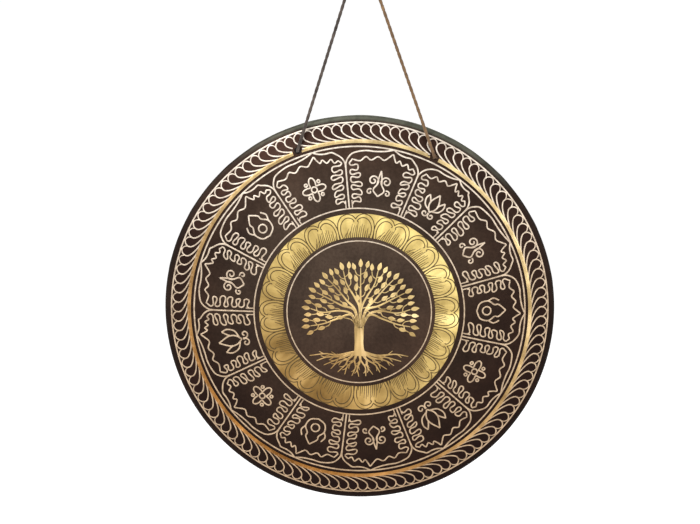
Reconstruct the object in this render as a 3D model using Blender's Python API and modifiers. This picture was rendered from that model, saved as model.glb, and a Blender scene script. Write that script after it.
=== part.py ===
"""Hand-hammered engraved gong that hangs on one knotted cord.

Metres, +Z up, and the gong's face looks towards -Y. The origin is the hang
point, where the inside of the cord's top loop rests on a hook. The whole cord
lies in the plane y = 0 in front of the plate's holes, and the plate's depth is
chosen so that its centre of gravity lies in that plane too: it hangs plumb.
"""
import math

import bmesh
import bpy
from mathutils import Vector

# Plate as seen from the front: rings from the edge inwards
PLATE_RADIUS = 0.1525
EDGE_WIDTH = 0.0035
BAND_WIDTH = 0.015
RIDGE_WIDTH = 0.005
SLOPE_WIDTH = 0.045

# Plate as seen from the side: how far each ring falls back from the flat middle
SLOPE_DROP = 0.008
SLOPE_CROWNING = 0.4
RIDGE_DROP = 0.0006
BAND_DROP = 0.005
EDGE_DROP = 0.0024
RIM_DEPTH = 0.0132
RIM_TAPER = math.radians(8)

# Metal thickness, hammered thinner towards the edge
CENTRE_WALL = 0.0021
EDGE_WALL = 0.0015

# The two cord holes, measured round from the top of the plate
HOLE_CLEARANCE = 0.0013
HOLE_OUTSIDE_RIDGE = 0.0005
LEFT_HOLE_ANGLE = math.radians(21.2)
RIGHT_HOLE_ANGLE = math.radians(25.3)

# Cord and how it leaves the holes
CORD_DIAMETER = 0.0026
LIP_GAP = 0.0008
TOUCH_GAP = 0.0003
BEND_BULGE = 0.0005

# Knots: what each adds round the cord or the hole that it closes
STOPPER_OVERLAP = 0.0018
TAIL_LENGTH = 0.0076
TOP_KNOT_WRAP = 0.0029
LEG_GAP = 0.0006

# Heights along the hanging cord
KNOT_BELOW_HANG_POINT = 0.048
KNOT_ABOVE_PLATE = 0.1315

# One side of the top loop: half its width, and the share of its height
LOOP_SIDE = [
    (0.0018, 0.085),
    (0.0036, 0.246),
    (0.0064, 0.430),
    (0.0084, 0.625),
    (0.0084, 0.814),
    (0.0053, 0.947),
]

# How finely the round shapes are cut
PLATE_STEPS = 96
SLOPE_STEPS = 5
EDGE_STEPS = 4
HOLE_SIDES = 24
TAIL_SIDES = 12
KNOT_SIDES = 24
CORD_SIDES_RESOLUTION = 2
STRAND_POINTS = 26
LOOP_POINTS_PER_SPAN = 4

CORD_RADIUS = CORD_DIAMETER / 2
BEND_RADIUS = CORD_RADIUS + BEND_BULGE
HOLE_RADIUS = CORD_RADIUS + HOLE_CLEARANCE
STOPPER_RADIUS = HOLE_RADIUS + STOPPER_OVERLAP
TOP_KNOT_RADIUS = CORD_DIAMETER + TOP_KNOT_WRAP
FLAT_RADIUS = PLATE_RADIUS - EDGE_WIDTH - BAND_WIDTH - RIDGE_WIDTH - SLOPE_WIDTH
HOLE_CIRCLE_RADIUS = PLATE_RADIUS - EDGE_WIDTH - BAND_WIDTH + HOLE_OUTSIDE_RIDGE
KNOT_CENTRE = Vector((0, 0, -KNOT_BELOW_HANG_POINT))
FACE_FORWARD = (math.radians(90), 0, 0)


def wall_at(radius):
    """Metal thickness at a radius."""
    return CENTRE_WALL + (EDGE_WALL - CENTRE_WALL) * radius / PLATE_RADIUS


def face_profile():
    """(radius, depth) points down the front, from the middle to the rim's back edge."""
    points = [(0, 0), (FLAT_RADIUS, 0)]
    for step in range(1, SLOPE_STEPS + 1):
        share = step / SLOPE_STEPS
        fall = (1 - SLOPE_CROWNING) * share + SLOPE_CROWNING * share ** 2
        points.append((FLAT_RADIUS + SLOPE_WIDTH * share, SLOPE_DROP * fall))
    ridge_radius = PLATE_RADIUS - EDGE_WIDTH - BAND_WIDTH
    ridge_depth = SLOPE_DROP + RIDGE_DROP
    points.append((ridge_radius, ridge_depth))
    band_radius = PLATE_RADIUS - EDGE_WIDTH
    band_depth = ridge_depth + BAND_DROP
    points.append((band_radius, band_depth))
    for step in range(1, EDGE_STEPS + 1):
        turn = math.radians(90) * step / EDGE_STEPS
        radius = band_radius + EDGE_WIDTH * math.sin(turn)
        points.append((radius, band_depth + EDGE_DROP * (1 - math.cos(turn))))
    rim_radius = PLATE_RADIUS - RIM_DEPTH * math.tan(RIM_TAPER)
    points.append((rim_radius, band_depth + EDGE_DROP + RIM_DEPTH))
    return points


def back_profile(face):
    """The face's points moved inwards by the metal's thickness."""
    points = []
    for index, (radius, depth) in enumerate(face):
        before = Vector(face[max(index - 1, 0)])
        after = Vector(face[min(index + 1, len(face) - 1)])
        along = (after - before).normalized()
        inwards = Vector((-along.y, along.x))
        moved = Vector((radius, depth)) + inwards * wall_at(radius)
        points.append((max(moved.x, 0), moved.y))
    points[0] = (0, CENTRE_WALL)
    rim_end_depth = face[-1][1]
    points[-1] = (points[-1][0], rim_end_depth)
    return points


def depth_at(profile, radius):
    """Depth of a profile at a radius, before it reaches the rounded edge."""
    for (inner, inner_depth), (outer, outer_depth) in zip(profile, profile[1:]):
        if inner <= radius <= outer:
            share = (radius - inner) / (outer - inner)
            return inner_depth + (outer_depth - inner_depth) * share
    return profile[-1][1]


FACE = face_profile()
BACK = back_profile(FACE)

# The cord leaves each hole over its upper lip and stays clear of the metal there
HINGE_DEPTH = depth_at(FACE, HOLE_CIRCLE_RADIUS + HOLE_RADIUS) - CORD_RADIUS - LIP_GAP
PLATE_CENTRE = KNOT_CENTRE + Vector((0, -HINGE_DEPTH, -KNOT_ABOVE_PLATE - PLATE_RADIUS))


def hole_mouth(angle):
    """Where the cord bends out of a hole, in the cord's plane."""
    across = HOLE_CIRCLE_RADIUS * math.sin(angle)
    up = HOLE_CIRCLE_RADIUS * math.cos(angle)
    return Vector((PLATE_CENTRE.x + across, 0, PLATE_CENTRE.z + up))


LEFT_MOUTH = hole_mouth(-LEFT_HOLE_ANGLE)
RIGHT_MOUTH = hole_mouth(RIGHT_HOLE_ANGLE)


def stopper_depth():
    """How far behind the cord's plane a stopper knot's centre seats on the plate's back."""
    seat = 0
    reach = STOPPER_RADIUS + TOUCH_GAP
    samples = 12
    for ring in range(samples + 1):
        offset = HOLE_RADIUS + (reach - HOLE_RADIUS) * ring / samples
        for radial in (-offset, offset):
            surface = depth_at(BACK, HOLE_CIRCLE_RADIUS + radial) - HINGE_DEPTH
            seat = max(seat, surface + math.sqrt(max(reach ** 2 - offset ** 2, 0)))
    return seat


def remove_everything():
    """Empties the scene."""
    for obj in list(bpy.data.objects):
        bpy.data.objects.remove(obj)


def new_collection(name):
    """A collection linked to the scene."""
    collection = bpy.data.collections.new(name)
    bpy.context.scene.collection.children.link(collection)
    return collection


def new_material(name, colour, metallic, roughness):
    """A Principled material of one colour."""
    material = bpy.data.materials.new(name)
    material.use_nodes = True
    shader = material.node_tree.nodes["Principled BSDF"]
    shader.inputs["Base Color"].default_value = (*colour, 1)
    shader.inputs["Metallic"].default_value = metallic
    shader.inputs["Roughness"].default_value = roughness
    return material


def new_empty(name, position, parent):
    """An empty on a joint's axis."""
    empty = bpy.data.objects.new(name, None)
    empty.empty_display_size = 0.01
    parts.objects.link(empty)
    place(empty, position, parent)
    return empty


def world_origin(obj):
    """World position of an empty under other empties, none of them turned."""
    origin = Vector()
    while obj is not None:
        origin += obj.location
        obj = obj.parent
    return origin


def place(obj, position, parent):
    """Puts an object at a world position under its parent."""
    obj.parent = parent
    obj.location = Vector(position) - world_origin(parent)


def turned(name, profile, steps, material):
    """A solid of revolution about its own Z, from (radius, height) points, top first."""
    mesh = bpy.data.meshes.new(name)
    build = bmesh.new()
    corners = [build.verts.new((radius, 0, height)) for radius, height in profile]
    for first, second in zip(corners, corners[1:]):
        build.edges.new((first, second))
    build.to_mesh(mesh)
    build.free()
    obj = bpy.data.objects.new(name, mesh)
    parts.objects.link(obj)
    obj.data.materials.append(material)
    screw = obj.modifiers.new("turn", "SCREW")
    screw.steps = steps
    screw.render_steps = steps
    screw.use_merge_vertices = True
    screw.merge_threshold = 0.00001
    screw.use_smooth_shade = True
    return obj


def cylinder_cutter(name, radius, length, sides, middle, direction):
    """A hidden cylinder that cuts or joins another piece."""
    mesh = bpy.data.meshes.new(name)
    build = bmesh.new()
    bmesh.ops.create_cone(build, cap_ends=True, segments=sides, radius1=radius, radius2=radius, depth=length)
    build.to_mesh(mesh)
    build.free()
    obj = bpy.data.objects.new(name, mesh)
    cutters.objects.link(obj)
    obj.location = middle
    obj.rotation_mode = "QUATERNION"
    obj.rotation_quaternion = Vector((0, 0, 1)).rotation_difference(direction)
    obj.hide_render = True
    obj.display_type = "WIRE"
    return obj


def boolean(obj, other, operation):
    """Adds an exact Boolean modifier."""
    modifier = obj.modifiers.new(other.name, "BOOLEAN")
    modifier.operation = operation
    modifier.solver = "EXACT"
    modifier.object = other


def make_plate(parent):
    """The gong plate with its turned-back rim and two cord holes."""
    profile = [(radius, -depth) for radius, depth in FACE]
    profile += [(radius, -depth) for radius, depth in reversed(BACK)]
    plate = turned("gong_plate", profile, PLATE_STEPS, bronze)
    place(plate, PLATE_CENTRE, parent)
    plate.rotation_euler = FACE_FORWARD
    reach = 2 * (FACE[-1][1] + HOLE_RADIUS)
    for side, mouth in (("left", LEFT_MOUTH), ("right", RIGHT_MOUTH)):
        cutter = cylinder_cutter("hole_" + side, HOLE_RADIUS, reach, HOLE_SIDES, mouth, Vector((0, 1, 0)))
        boolean(plate, cutter, "DIFFERENCE")
    return plate


def make_hole_knot(side, mouth, parent):
    """The cord's end: bend in front of the hole, run through it, stopper knot and tail behind."""
    seat = stopper_depth()
    profile = []
    bend_end = math.pi - math.asin(CORD_RADIUS / BEND_RADIUS)
    knot_start = math.asin(CORD_RADIUS / STOPPER_RADIUS)
    arc_steps = KNOT_SIDES // 3
    for step in range(arc_steps + 1):
        turn = bend_end * step / arc_steps
        profile.append((BEND_RADIUS * math.sin(turn), BEND_RADIUS * math.cos(turn)))
    for step in range(arc_steps + 1):
        turn = knot_start + (math.pi - knot_start) * step / arc_steps
        profile.append((STOPPER_RADIUS * math.sin(turn), STOPPER_RADIUS * math.cos(turn) - seat))
    profile[0] = (0, BEND_RADIUS)
    profile[-1] = (0, -seat - STOPPER_RADIUS)
    knot = turned("hole_knot_" + side, profile, KNOT_SIDES, cord_fibre)
    place(knot, mouth, parent)
    knot.rotation_euler = FACE_FORWARD
    outwards = 1 if side == "right" else -1
    droop = Vector((0.25 * outwards, 0.55, -0.8)).normalized()
    centre = mouth + Vector((0, seat, 0))
    reach = STOPPER_RADIUS + TAIL_LENGTH
    tail = cylinder_cutter("tail_" + side, CORD_RADIUS, reach, TAIL_SIDES, centre + droop * reach / 2, droop)
    boolean(knot, tail, "UNION")
    return knot


def make_cord(name, points, parent):
    """A round cord along world points, as one poly spline with filled ends."""
    curve = bpy.data.curves.new(name, "CURVE")
    curve.dimensions = "3D"
    curve.bevel_depth = CORD_RADIUS
    curve.bevel_resolution = CORD_SIDES_RESOLUTION
    curve.use_fill_caps = True
    spline = curve.splines.new("POLY")
    spline.points.add(len(points) - 1)
    origin = world_origin(parent)
    for spot, point in zip(spline.points, points):
        spot.co = (*(point - origin), 1)
    curve.materials.append(cord_fibre)
    cord = bpy.data.objects.new(name, curve)
    parts.objects.link(cord)
    place(cord, origin, parent)
    return cord


def make_strand(name, mouth, parent):
    """A taut stretch from a hole's bend up to the top knot."""
    up = (KNOT_CENTRE - mouth).normalized()
    start = mouth + up * (BEND_RADIUS + TOUCH_GAP)
    end = KNOT_CENTRE - up * (TOP_KNOT_RADIUS + TOUCH_GAP)
    last = STRAND_POINTS - 1
    points = [start.lerp(end, step / last) for step in range(STRAND_POINTS)]
    return make_cord(name, points, parent)


def smooth_route(points, steps):
    """Points on a smooth curve through the given ones, with both ends kept."""
    padded = [points[0] * 2 - points[1], *points, points[-1] * 2 - points[-2]]
    route = []
    for index in range(1, len(padded) - 2):
        before, start, end, after = padded[index - 1:index + 3]
        for step in range(steps):
            t = step / steps
            ahead = (end - before) * t
            bend = (before * 2 - start * 5 + end * 4 - after) * t ** 2
            rest = (start * 3 - before - end * 3 + after) * t ** 3
            route.append((start * 2 + ahead + bend + rest) / 2)
    route.append(points[-1])
    return route


def make_loop(parent):
    """The loop above the top knot: up one side, over the hook and down the other."""
    leg_end = KNOT_CENTRE.z + TOP_KNOT_RADIUS + TOUCH_GAP
    top = Vector((0, 0, CORD_RADIUS))
    side = [(CORD_RADIUS + LEG_GAP / 2, 0), *LOOP_SIDE]
    left = [Vector((-x, 0, leg_end + (top.z - leg_end) * share)) for x, share in side]
    right = [Vector((-point.x, 0, point.z)) for point in reversed(left)]
    return make_cord("top_loop", smooth_route([*left, top, *right], LOOP_POINTS_PER_SPAN), parent)


def make_top_knot(parent):
    """The overhand knot in the doubled cord, as a round body."""
    mesh = bpy.data.meshes.new("top_knot")
    build = bmesh.new()
    rings = KNOT_SIDES * 2 // 3
    bmesh.ops.create_uvsphere(build, u_segments=KNOT_SIDES, v_segments=rings, radius=TOP_KNOT_RADIUS)
    build.to_mesh(mesh)
    build.free()
    mesh.shade_smooth()
    mesh.materials.append(cord_fibre)
    knot = bpy.data.objects.new("top_knot", mesh)
    parts.objects.link(knot)
    place(knot, KNOT_CENTRE, parent)
    return knot


remove_everything()
parts = new_collection("gong")
cutters = new_collection("cutters")
bronze = new_material("patinated_bronze", (0.075, 0.055, 0.047), 0.8, 0.42)
cord_fibre = new_material("cord_fibre", (0.16, 0.10, 0.055), 0.0, 0.85)

hang_point = new_empty("hang_point", (0, 0, 0), None)
knot_twist = new_empty("knot_twist", KNOT_CENTRE, hang_point)
cord_swing = new_empty("cord_swing", KNOT_CENTRE, knot_twist)
gong_tilt = new_empty("gong_tilt", (LEFT_MOUTH + RIGHT_MOUTH) / 2, cord_swing)

make_loop(hang_point)
make_top_knot(knot_twist)
make_strand("cord_left", LEFT_MOUTH, cord_swing)
make_strand("cord_right", RIGHT_MOUTH, cord_swing)
make_plate(gong_tilt)
make_hole_knot("left", LEFT_MOUTH, gong_tilt)
make_hole_knot("right", RIGHT_MOUTH, gong_tilt)
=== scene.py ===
"""Looks of the engraved hammered gong: plate, engraving, twisted cord, knots, light and camera."""
import math

import bmesh
import bpy
import numpy as np
from mathutils import Matrix, Vector


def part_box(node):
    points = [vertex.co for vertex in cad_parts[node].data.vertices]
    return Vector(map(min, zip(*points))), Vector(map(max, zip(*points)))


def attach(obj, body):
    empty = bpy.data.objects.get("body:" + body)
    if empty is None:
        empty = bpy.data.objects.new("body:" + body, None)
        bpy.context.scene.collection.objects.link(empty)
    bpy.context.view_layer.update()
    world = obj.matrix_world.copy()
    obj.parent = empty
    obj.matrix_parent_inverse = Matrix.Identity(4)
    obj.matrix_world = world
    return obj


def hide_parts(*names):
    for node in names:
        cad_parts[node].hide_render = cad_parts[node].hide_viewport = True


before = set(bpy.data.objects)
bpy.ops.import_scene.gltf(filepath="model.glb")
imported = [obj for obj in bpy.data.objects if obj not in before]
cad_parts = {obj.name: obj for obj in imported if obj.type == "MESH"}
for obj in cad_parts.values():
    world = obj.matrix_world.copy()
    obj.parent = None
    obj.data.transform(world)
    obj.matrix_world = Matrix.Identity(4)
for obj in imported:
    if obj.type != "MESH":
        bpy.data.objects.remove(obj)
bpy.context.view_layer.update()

# The plate's place and size, from the frame
PLATE_LOW, PLATE_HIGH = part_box("gong_plate")
CENTRE_X = (PLATE_LOW[0] + PLATE_HIGH[0]) / 2
CENTRE_Z = (PLATE_LOW[2] + PLATE_HIGH[2]) / 2
PLATE_CENTRE = (CENTRE_X, 0, CENTRE_Z)
FRONT_Y = PLATE_LOW[1]
RIM_Y = PLATE_HIGH[1]
PLATE_RADIUS = (PLATE_HIGH[0] - PLATE_LOW[0]) / 2

# The plate's rings, depths and walls, in metres; the crowning is a share of the slope's drop
FLAT_RADIUS = 0.084
RIDGE_INNER = 0.129
RIDGE_OUTER = 0.134
EDGE_START = 0.149
SLOPE_DROP = 0.008
SLOPE_CROWNING = 0.4
RIDGE_DROP = 0.0006
BAND_DROP = 0.005
EDGE_DROP = 0.0024
CENTRE_WALL = 0.0021
EDGE_WALL = 0.0015
RIM_END_RADIUS = 0.15064
LIP_ROUNDING = 0.0003
RIM_INSETS = {"rim_out": 0, "lip_out": LIP_ROUNDING, "lip_in": EDGE_WALL - LIP_ROUNDING,
              "rim_in": EDGE_WALL}

# The plate's mesh: its rings from the face's middle round the rim to the back's middle, at radii in
# metres on the face and the back, and at shares of the rim's depth on the rim
PLATE_SEGMENTS = 300
EDGE_TURNS = np.radians([15, 30, 45, 60, 75, 86])
RING_PLACES = [
    ("face", np.linspace(0.002, 0.126, 70)),
    ("face", np.linspace(0.1275, EDGE_START, 16)),
    ("face", EDGE_START + (PLATE_RADIUS - EDGE_START) * np.sin(EDGE_TURNS)),
    ("rim_out", np.linspace(0.04, 0.96, 8)),
    ("lip_out", [1.0]),
    ("lip_in", [1.0]),
    ("rim_in", np.linspace(0.96, 0.12, 7)),
    ("back", np.linspace(0.1475, 0.002, 64)),
]
HOLE_SEGMENTS = 48
CUTTER_LENGTH = 0.05
SHARP_ANGLE = math.radians(50)

# Hammer blows, each a fixed turn on from the last and farther out; lengths in metres
FACE_BLOWS = 620
BACK_BLOWS = 520
BLOWS_REACH = 0.146
BLOW_TURN = math.radians(137.5)
BLOW_SCATTER = 0.0022
BLOW_STRENGTHS = (0.3, 1.0)
FACE_DENT_DEPTH = 0.00022
FACE_DENT_SIZE = 0.0038
BACK_DENT_DEPTH = 0.00034
BACK_DENT_SIZE = 0.0046
BACK_DENTS_END = 0.145
DENTS_FADE = 0.01

# Cord, holes and knots, in metres, where part.py has them
CORD_RADIUS = 0.0013
HOLE_RADIUS = 0.0026
LEFT_MOUTH = Vector((-0.048639, 0, -0.206602))
RIGHT_MOUTH = Vector((0.057480, 0, -0.210401))
MOUTHS = (LEFT_MOUTH, RIGHT_MOUTH)
KNOT_CENTRE = Vector((0, 0, -0.048))
TOP_KNOT_RADIUS = 0.0055
STOPPER_DEPTH = 0.00765
LOOP_LEG_END = -0.0422

# The loop's left side: distance from its middle line in metres, and share of its height
LOOP_SIDE = [(0.0016, 0.0), (0.0018, 0.085), (0.0036, 0.246), (0.0064, 0.430), (0.0084, 0.625),
             (0.0084, 0.814), (0.0053, 0.947)]

# The twisted cord's surface: turns are per metre, steps between rings in metres
PLIES = 2
PLY_TURNS = 90
CREASE = 0.26
CORD_SIDES = 18
STRAND_STEP = 0.0007
TOP_KNOT_STEP = 0.0006
STOPPER_STEP = 0.0005

# The top knot's wrapped turns, in metres
WRAP_LIFTS = (0.00125, -0.00125)
WRAP_POINTS = 90
WRAP_RADIUS = 0.0028
WRAP_TUCK = 0.0016

# The turns of a stopper knot: place behind its centre in metres, twist, and size in metres
STOPPER_TURNS = [(0.0009, 0.0, 0.00105), (-0.0013, math.radians(60), 0.0007)]
FRAY_THREADS = 9
FRAY_SPREAD = 0.0007
THREAD_RADIUS = 0.00022
THREAD_SIDES = 5

# The engraving's unit, in metres
MM = 0.001

# The engraving's rings, radii and widths in millimetres
TREE_CIRCLE = 56.3
GOLD_INNER = 58.6
GOLD_OUTER = 78.6
PANEL_INNER = 82.0
PANEL_OUTER = 129.3
STRIP_INNER = 131.9
STRIP_OUTER = 134.7
OUTER_CIRCLE = 147.4
CIRCLE_WIDTHS = [(TREE_CIRCLE, 1.0), (PANEL_INNER, 1.15), (PANEL_OUTER, 1.3), (OUTER_CIRCLE, 1.25)]
CIRCLE_POINTS = 360
STRIP_LINES = 4
STRIP_OVERLAP = 1.04

# Cord holes in the plate's plane, and how far engraved lines keep from them, in millimetres
HOLES = np.array([(mouth.x - CENTRE_X, mouth.z - CENTRE_Z) for mouth in MOUTHS]) / MM
HOLE_MARGIN = 0.2

# Cross-sections of engraved lines: share of the width, and height over the face in millimetres
SUNK = -0.06
GROOVE = [(-0.5, SUNK), (-0.3, 0.09), (0.0, 0.03), (0.3, 0.09), (0.5, SUNK)]
SOLID_BAR = [(-0.5, SUNK), (-0.4, 0.1), (0.4, 0.1), (0.5, SUNK)]
SCRATCH = [(-0.5, 0.02), (0.0, 0.1), (0.5, 0.02)]
WIDE_BAND = [(share, SUNK if abs(share) > 0.49 else 0.05) for share in np.linspace(-0.5, 0.5, 17)]
LEAF_HEIGHT = 0.12

# The border's swirls: pitches round the plate and millimetres; widths at shares of the way
SWIRLS = 118
SWIRL_ROUTE = [(2.35, 133.6), (1.75, 134.3), (1.1, 135.7), (0.5, 137.8), (0.12, 140.4), (0.06, 143.0),
               (0.22, 145.2), (0.55, 146.5), (0.88, 145.3), (1.05, 143.2)]
SWIRL_WIDTHS = ([0, 0.25, 0.6, 1], [1.3, 1.15, 1.15, 0.85])

# Panel separators and the points of their arches, degrees clockwise from the top
SEPARATORS = [22.7, 45.6, 75.3, 102.9, 132.2, 158.9, 186.6, 213.3, 242.6, 269.8, 296.4, 325.1, 354.4]
CUSPS = [36.7, 64.9, 90.6, 120.4, 148.8, 175.8, 203.0, 231.1, 260.6, 286.4, 315.1, 343.2, 371.8]

# A panel's frame: an arch's foot in degrees from its separator, its top in shares of the way to its
# point, all with radii in millimetres
STEM_END = 117.2
STEM_POINTS = 14
ARCH_FOOT = [(0, 113.5), (0.25, 117.5), (1.3, 121.3), (3.2, 124.5)]
ARCH_TOP = [(0.42, 126.2), (0.62, 126.0), (0.82, 126.9), (1.0, 129.2)]
FRAME_WIDTH = 1.3
FLANK_RADII = np.array([82.5, 85.5, 88.5])
FLANK_MARGIN = 2.5
FLANK_WIDTH = 0.95

# The squiggle in a panel, in millimetres; its zigzags in shares of the way to the arch's point
WAVES = 5
WAVE_POINTS = 130
WAVE_START = 85.5
WAVE_RISE = 31.0
WAVE_MARGIN = 3.0
WAVE_SWELL = 3.7
SLANTS = (0.1, 0.75)
LEFT_ZIGZAG = [(0.0, 119.8), (0.2, 118.4), (0.34, 121.6), (0.48, 119.3), (0.64, 122.3), (0.8, 120.2),
               (0.92, 123.2)]
RIGHT_ZIGZAG = [(0.0, 119.4), (0.17, 118.0), (0.3, 121.2), (0.5, 119.0), (0.66, 122.0), (0.79, 120.0),
                (0.92, 123.0)]
ZIGZAG_PEAK = 125.6
ZIGZAG_INSET = 1.2
SQUIGGLE_WIDTH = 1.25

# Ornaments in the panels, in millimetres before they are scaled to their panel's room
ORNAMENT_RADIUS = 102.0
ORNAMENT_WIDTH = 15.2
ORNAMENT_LINE = 1.3
LARGEST_ORNAMENT = 1.3
SQUIGGLE_ROOM = 25.0

# Petals of the gold ring: edges in degrees, outlines in shares of a petal's span and millimetres
PETAL_EDGES = [9.8, 33.3, 57.4, 79.2, 100.5, 121.7, 138.9, 158.4, 183.4, 208.1, 232.8, 255.8, 277.6,
               300.0, 322.9, 345.3]
PETAL_FOOT = 59.2
PETAL_OUTER = [(0.015, PETAL_FOOT), (0.0, 66), (0.045, 72), (0.15, 76.2), (0.29, 77.7), (0.41, 76.6),
               (0.47, 74.9), (0.5, 73.6)]
PETAL_INNER = [(0.10, PETAL_FOOT), (0.075, 65), (0.11, 70), (0.2, 73.6), (0.31, 74.8), (0.41, 73.8),
               (0.455, 72.2), (0.44, 71.2)]
PETAL_WIDTH = 0.74
PETAL_LIFT = 0.04
HATCHES = 13
HATCH_WIDTHS = (0.66, 0.34)

# The tree, in millimetres and degrees, with its widths at shares of a length
TRUNK = [(0.2, -9), (0, -13), (0, -20), (0, -27), (0.2, -31), (0, -35)]
TRUNK_WIDTHS = ([0, 0.2, 0.5, 0.75, 0.9, 1], [7.5, 8.0, 7.2, 8.2, 11, 13])
CROWN_MIDDLE = np.array([1.0, -4.5])
LIMBS_A_SIDE = 5
LIMB_SPACING = 20.0
LIMB_FOOT = -13.0
LIMB_REACHES = (7.5, 17.5, 29.0, 39.5)
LIMB_WIDTHS = (2.2, 0.75)

# Twigs beside a limb: degrees from it, reach, how much farther on the right, and leaf length
SIDE_TWIGS = [(6.6, 38.6, 0.8, 6.6), (5.4, 29.4, 1.3, 6.9)]

# Twigs midway between two limbs: reach and leaf length
MIDWAY_TWIGS = [(21.0, 6.9), (13.2, 5.6)]
TWIG_REACH = 5.2
TWIG_WIDTH = 0.8
LEAF_WIDTH = 3.35
END_LEAF = (7.6, 3.6)

# Roots, and side roots by their place along a root and their side
ROOTS_A_SIDE = 7
ROOT_TOP = -32.0
ROOT_TOP_SPACING = 0.62
ROOT_END_SPACING = 5.5
DEEPEST_ROOT = -51.5
OUTER_ROOT_RISE = 16.5
ROOT_WIDTHS = (2.0, 0.6)
SIDE_ROOTS = ((0.36, 1), (0.52, -1), (0.7, 1))
SIDE_ROOT_WIDTHS = (1.05, 0.45)

# Evenness of every noise texture: lower is smoother
NOISE_ROUGHNESS = 0.55

# Studio, in metres and watts: name, place, size and power of each lamp
FLOOR_SIZE = 30
FLOOR_HEIGHT = -0.9
FLOOR_GLOW = 0.5
SURROUND_LIGHT = 0.55
SURROUND_SEEN = 1.0
LAMPS = [
    ("key_lamp", (-1.1, -1.9, 1.2), 1.2, 34),
    ("fill_lamp", (1.6, -1.8, 0.3), 1.4, 14),
    ("back_lamp", (0.4, 2.2, 0.9), 1.6, 16),
]

# Camera: the photograph's view, from the plate's outline and rings
CAMERA_DISTANCE = 2.6
CAMERA_ELEVATION = math.radians(11.41)
CAMERA_AZIMUTH = math.radians(-1.13)
CAMERA_ROLL = math.radians(0.33)
SENSOR_WIDTH = 36
VIEW_LIMIT = 100
IMAGE_WIDTH = 700
IMAGE_HEIGHT = 524
PIXELS_PER_METRE = 1279.6
PLATE_PIXEL = (359.36, 310.16)

randomness = np.random.default_rng(7)


def face_depth(radius):
    """Depth of the face behind its flat middle, at radii before the rim, in metres."""
    slope = np.clip((radius - FLAT_RADIUS) / (RIDGE_INNER - FLAT_RADIUS), 0, 1)
    ridge = np.clip((radius - RIDGE_INNER) / (RIDGE_OUTER - RIDGE_INNER), 0, 1)
    band = np.clip((radius - RIDGE_OUTER) / (EDGE_START - RIDGE_OUTER), 0, 1)
    edge = np.clip((radius - EDGE_START) / (PLATE_RADIUS - EDGE_START), 0, 1)
    depth = SLOPE_DROP * ((1 - SLOPE_CROWNING) * slope + SLOPE_CROWNING * slope ** 2)
    return depth + RIDGE_DROP * ridge + BAND_DROP * band + EDGE_DROP * (1 - np.sqrt(1 - edge ** 2))


def hammer_blows(count):
    """Places of hammer blows spread over the plate, in metres, and how hard each one is."""
    steps = np.arange(count) + 0.5
    radius = BLOWS_REACH * np.sqrt(steps / count)
    turn = steps * BLOW_TURN
    places = np.stack([radius * np.cos(turn), radius * np.sin(turn)], 1)
    places += randomness.normal(0, BLOW_SCATTER, places.shape)
    return places, randomness.uniform(*BLOW_STRENGTHS, count)


FACE_MARKS = hammer_blows(FACE_BLOWS)
BACK_MARKS = hammer_blows(BACK_BLOWS)


def hammered(across, up, marks, depth, size):
    """How far the blows push the metal in at each place, in metres."""
    dents = np.zeros_like(across)
    for (x, z), strength in zip(*marks):
        squared = (across - x) ** 2 + (up - z) ** 2
        dents += strength * depth * np.exp(-squared / (2 * size ** 2))
    return dents


def face_y(across, up):
    """World y of the hammered face at places in metres from the plate's middle."""
    radius = np.hypot(across, up)
    dents = hammered(across, up, FACE_MARKS, FACE_DENT_DEPTH, FACE_DENT_SIZE)
    return FRONT_Y + face_depth(radius) + dents * np.clip((EDGE_START - radius) / DENTS_FADE, 0, 1)


def new_object(name, data):
    """An object in the scene, from its mesh, lamp or camera."""
    piece = bpy.data.objects.new(name, data)
    bpy.context.scene.collection.objects.link(piece)
    return piece


def mesh_object(name, vertices, faces, material, slot, body):
    """A piece of the gong from its vertices in world metres."""
    mesh = bpy.data.meshes.new(name)
    mesh.from_pydata([tuple(v) for v in vertices], [], faces)
    mesh.validate()
    mesh.materials.append(material)
    work = bmesh.new()
    work.from_mesh(mesh)
    bmesh.ops.recalc_face_normals(work, faces=work.faces)
    work.to_mesh(mesh)
    work.free()
    mesh.shade_smooth()
    mesh.set_sharp_from_angle(angle=SHARP_ANGLE)
    piece = new_object(name, mesh)
    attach(piece, body)
    return piece


def sleeve_faces(rings, sides, ends="capped"):
    """Faces between rings of points; the sleeve's ends are open, capped, or joined to each other."""
    faces = []
    for ring in range(rings if ends == "joined" else rings - 1):
        low = ring * sides
        high = (ring + 1) % rings * sides
        for corner in range(sides):
            after = (corner + 1) % sides
            faces.append((low + corner, low + after, high + after, high + corner))
    if ends == "capped":
        faces.append(tuple(range(sides)))
        faces.append(tuple(range((rings - 1) * sides, rings * sides)))
    return faces


# Materials

def new_material(name, roughness, metallic):
    """A Principled material with its nodes, ready for colour and bump."""
    material = bpy.data.materials.new(name)
    material.use_nodes = True
    shader = material.node_tree.nodes["Principled BSDF"]
    shader.inputs["Roughness"].default_value = roughness
    shader.inputs["Metallic"].default_value = metallic
    return material, shader


def add_node(material, kind, **values):
    """A node of a material or a world, with its sockets set by name."""
    node = material.node_tree.nodes.new(kind)
    for name, value in values.items():
        node.inputs[name].default_value = value
    return node


def connect(material, source, target):
    """Links a node's socket to another's, or sets it where the source is a number."""
    if isinstance(source, float):
        target.default_value = source
    else:
        material.node_tree.links.new(source, target)


def noise(material, scale, detail, vector=None):
    """A noise texture's factor, in metres of the object's own space."""
    node = add_node(material, "ShaderNodeTexNoise", Scale=scale, Detail=detail, Roughness=NOISE_ROUGHNESS)
    if vector is None:
        vector = add_node(material, "ShaderNodeTexCoord").outputs["Object"]
    connect(material, vector, node.inputs["Vector"])
    return node.outputs[0]


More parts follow.
